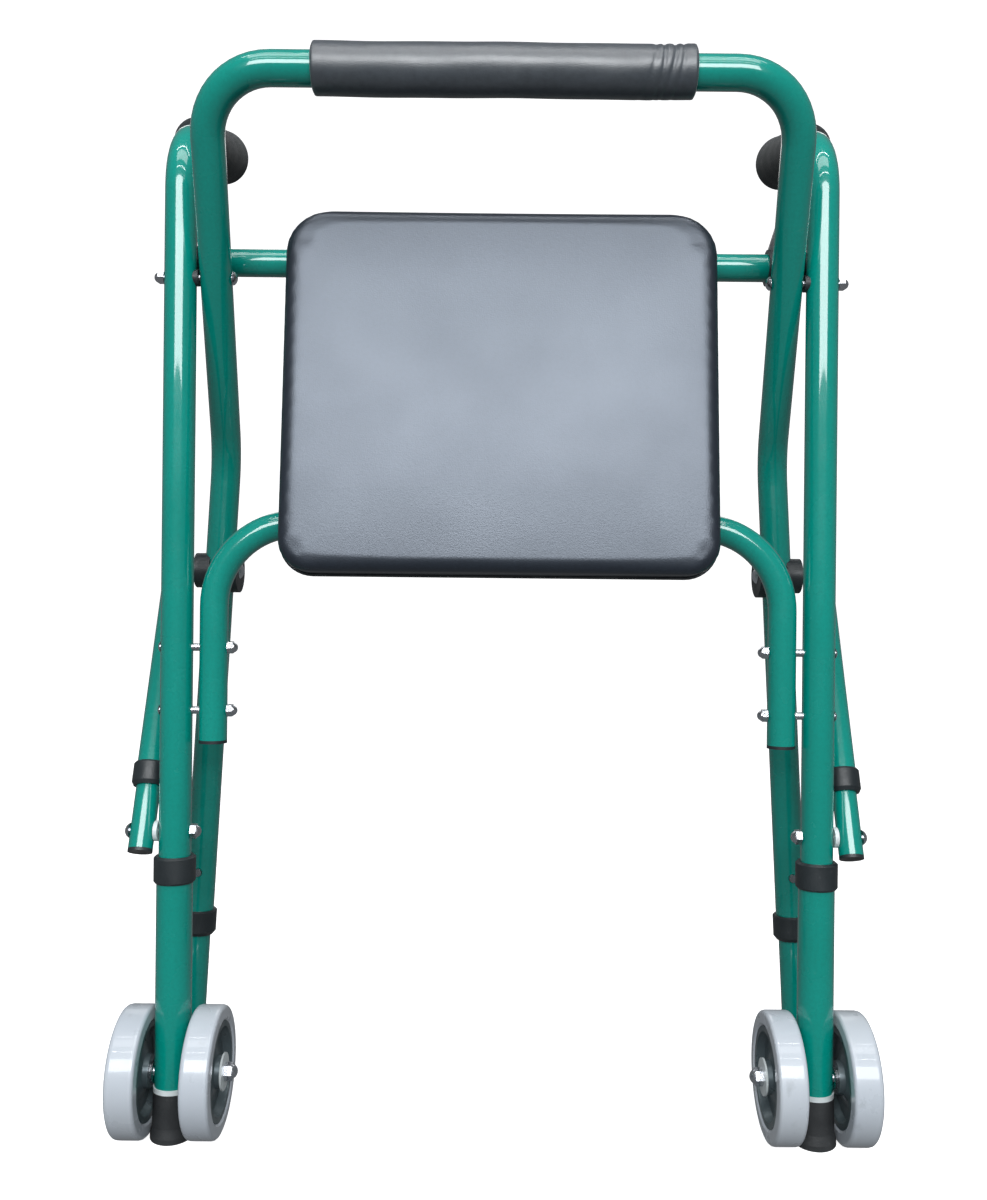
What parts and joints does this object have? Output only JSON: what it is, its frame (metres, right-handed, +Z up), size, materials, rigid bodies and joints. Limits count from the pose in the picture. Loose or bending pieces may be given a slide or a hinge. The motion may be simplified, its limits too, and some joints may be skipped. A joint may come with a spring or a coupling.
{
  "type": "front wheeled walker",
  "caption": "Folding walking frame with twin front wheels, rubber-tipped rear legs, a flip-down padded seat and a foam backrest bar, standing folded.",
  "frame": {"origin": "on the floor, under the middle of the folded walker", "axes": "+Z up, -Y the wheeled front, +X to the right as seen from the front"},
  "size_m": [0.5944, 0.2688, 0.8285],
  "materials": {
    "green_paint": "glossy green powder coat",
    "black_foam": "soft closed-cell foam, dull",
    "backrest_foam": "smooth charcoal foam sleeve, slight sheen",
    "black_plastic": "moulded black plastic, fine grain",
    "zinc": "bright zinc plate",
    "spring_steel": "plated steel",
    "pale_plastic": "white nylon",
    "rubber_tip": "black moulded rubber",
    "tyre_grey": "light grey solid tyre, smooth",
    "hub_plastic": "dark slate moulded hub",
    "seat_vinyl": "black vinyl with fine grain and a soft sheen",
    "seat_board": "plywood board with a black cover cloth"
  },
  "bodies": {
    "front_frame": {"front_tube_left": "green_paint", "front_tube_right": "green_paint", "hand_grips": "black_foam", "lower_cross_tube": "green_paint", "cross_tube_plugs": "black_plastic", "cross_tube_bolts": "zinc", "frame_nuts": "zinc", "pivot_bolts": "zinc", "pivot_spacers": "black_plastic", "strut_pivot_bolts": "zinc", "strut_washers": "pale_plastic", "front_leg_button_left": "spring_steel", "front_leg_button_right": "spring_steel"},
    "rear_frame": {"back_frame_tube": "green_paint", "backrest_foam": "backrest_foam", "brace_discs": "black_plastic", "brace_bolts": "zinc", "rear_collars": "black_plastic"},
    "seat": {"seat_board": "seat_board", "seat_pad": "seat_vinyl", "seat_hinge_clamps": "black_plastic", "rest_bar_clips": "black_plastic", "seat_screws": "zinc", "rest_bar": "green_paint", "rest_bar_sleeves": "black_plastic"},
    "fold_latch": {"fold_latch": "black_plastic"},
    "front_leg_left": {"front_lower_leg_left": "green_paint", "front_leg_collar_left": "black_plastic", "front_leg_ring_left": "pale_plastic", "front_leg_tip_left": "rubber_tip", "axle_fasteners_left": "zinc", "axle_washers_left": "pale_plastic"},
    "rear_leg_left": {"rear_lower_leg_left": "green_paint", "rear_leg_tip_left": "rubber_tip", "rear_leg_button_left": "spring_steel"},
    "strut_inner_left": {"strut_inner_left": "green_paint", "strut_plug_left": "black_plastic"},
    "strut_outer_left": {"strut_outer_left": "green_paint", "strut_collar_left": "black_plastic"},
    "wheel_left_inner": {"tyre_left_inner": "tyre_grey", "wheel_hub_left_inner": "hub_plastic"},
    "wheel_left_outer": {"tyre_left_outer": "tyre_grey", "wheel_hub_left_outer": "hub_plastic"},
    "front_leg_right": {"front_lower_leg_right": "green_paint", "front_leg_collar_right": "black_plastic", "front_leg_ring_right": "pale_plastic", "front_leg_tip_right": "rubber_tip", "axle_fasteners_right": "zinc", "axle_washers_right": "pale_plastic"},
    "rear_leg_right": {"rear_lower_leg_right": "green_paint", "rear_leg_tip_right": "rubber_tip", "rear_leg_button_right": "spring_steel"},
    "strut_inner_right": {"strut_inner_right": "green_paint", "strut_plug_right": "black_plastic"},
    "strut_outer_right": {"strut_outer_right": "green_paint", "strut_collar_right": "black_plastic"},
    "wheel_right_inner": {"tyre_right_inner": "tyre_grey", "wheel_hub_right_inner": "hub_plastic"},
    "wheel_right_outer": {"tyre_right_outer": "tyre_grey", "wheel_hub_right_outer": "hub_plastic"}
  },
  "joints": [
    {"name": "frame_fold", "type": "hinge", "parent": "front_frame", "child": "rear_frame", "pos_m": [0, -0.03, 0.67163], "axis": [1, 0, 0], "range_deg": [0, 29.3]},
    {"name": "seat_fold", "type": "hinge", "parent": "front_frame", "child": "seat", "pos_m": [0, -0.0468, 0.47956], "axis": [-1, 0, 0], "range_deg": [0, 62.28]},
    {"name": "latch_turn", "type": "hinge", "parent": "seat", "child": "fold_latch", "pos_m": [0.218, -0.00136, 0.6892], "axis": [-1, 0, 0], "range_deg": [0, 60]},
    {"name": "front_leg_slide_left", "type": "slide", "parent": "front_frame", "child": "front_leg_left", "axis": [0, -0.0872, -0.9962], "range_m": [0, 0.075], "deforming": ["front_leg_button_left"]},
    {"name": "rear_leg_slide_left", "type": "slide", "parent": "rear_frame", "child": "rear_leg_left", "axis": [-0.0496, -0.0964, -0.9941], "range_m": [0, 0.075], "deforming": ["rear_leg_button_left"]},
    {"name": "strut_swing_left", "type": "hinge", "parent": "front_frame", "child": "strut_inner_left", "pos_m": [-0.278, -0.06793, 0.23808], "axis": [-1, 0, 0], "range_deg": [0, 10.57]},
    {"name": "strut_slide_left", "type": "slide", "parent": "strut_inner_left", "child": "strut_outer_left", "axis": [0, 0.4802, 0.8772], "range_m": [0, 0.11424]},
    {"name": "wheel_spin_left_inner", "type": "hinge", "parent": "front_leg_left", "child": "wheel_left_inner", "pos_m": [-0.22365, -0.08439, 0.05], "axis": [1, 0, 0], "continuous": true},
    {"name": "wheel_spin_left_outer", "type": "hinge", "parent": "front_leg_left", "child": "wheel_left_outer", "pos_m": [-0.28135, -0.08439, 0.05], "axis": [1, 0, 0], "continuous": true},
    {"name": "front_leg_slide_right", "type": "slide", "parent": "front_frame", "child": "front_leg_right", "axis": [0, -0.0872, -0.9962], "range_m": [0, 0.075], "deforming": ["front_leg_button_right"]},
    {"name": "rear_leg_slide_right", "type": "slide", "parent": "rear_frame", "child": "rear_leg_right", "axis": [0.0496, -0.0964, -0.9941], "range_m": [0, 0.075], "deforming": ["rear_leg_button_right"]},
    {"name": "strut_swing_right", "type": "hinge", "parent": "front_frame", "child": "strut_inner_right", "pos_m": [0.278, -0.06793, 0.23808], "axis": [-1, 0, 0], "range_deg": [0, 10.57]},
    {"name": "strut_slide_right", "type": "slide", "parent": "strut_inner_right", "child": "strut_outer_right", "axis": [0, 0.4802, 0.8772], "range_m": [0, 0.11424]},
    {"name": "wheel_spin_right_inner", "type": "hinge", "parent": "front_leg_right", "child": "wheel_right_inner", "pos_m": [0.22365, -0.08439, 0.05], "axis": [1, 0, 0], "continuous": true},
    {"name": "wheel_spin_right_outer", "type": "hinge", "parent": "front_leg_right", "child": "wheel_right_outer", "pos_m": [0.28135, -0.08439, 0.05], "axis": [1, 0, 0], "continuous": true}
  ],
  "couplings": [
    {"joint": "seat_fold", "follows": "frame_fold", "ratio": 2.1188},
    {"joint": "strut_swing_left", "follows": "frame_fold", "ratio": 0.35732},
    {"joint": "strut_slide_left", "follows": "frame_fold", "m_per_rad": 0.22144},
    {"joint": "strut_swing_right", "follows": "frame_fold", "ratio": 0.35732},
    {"joint": "strut_slide_right", "follows": "frame_fold", "m_per_rad": 0.22144}
  ]
}
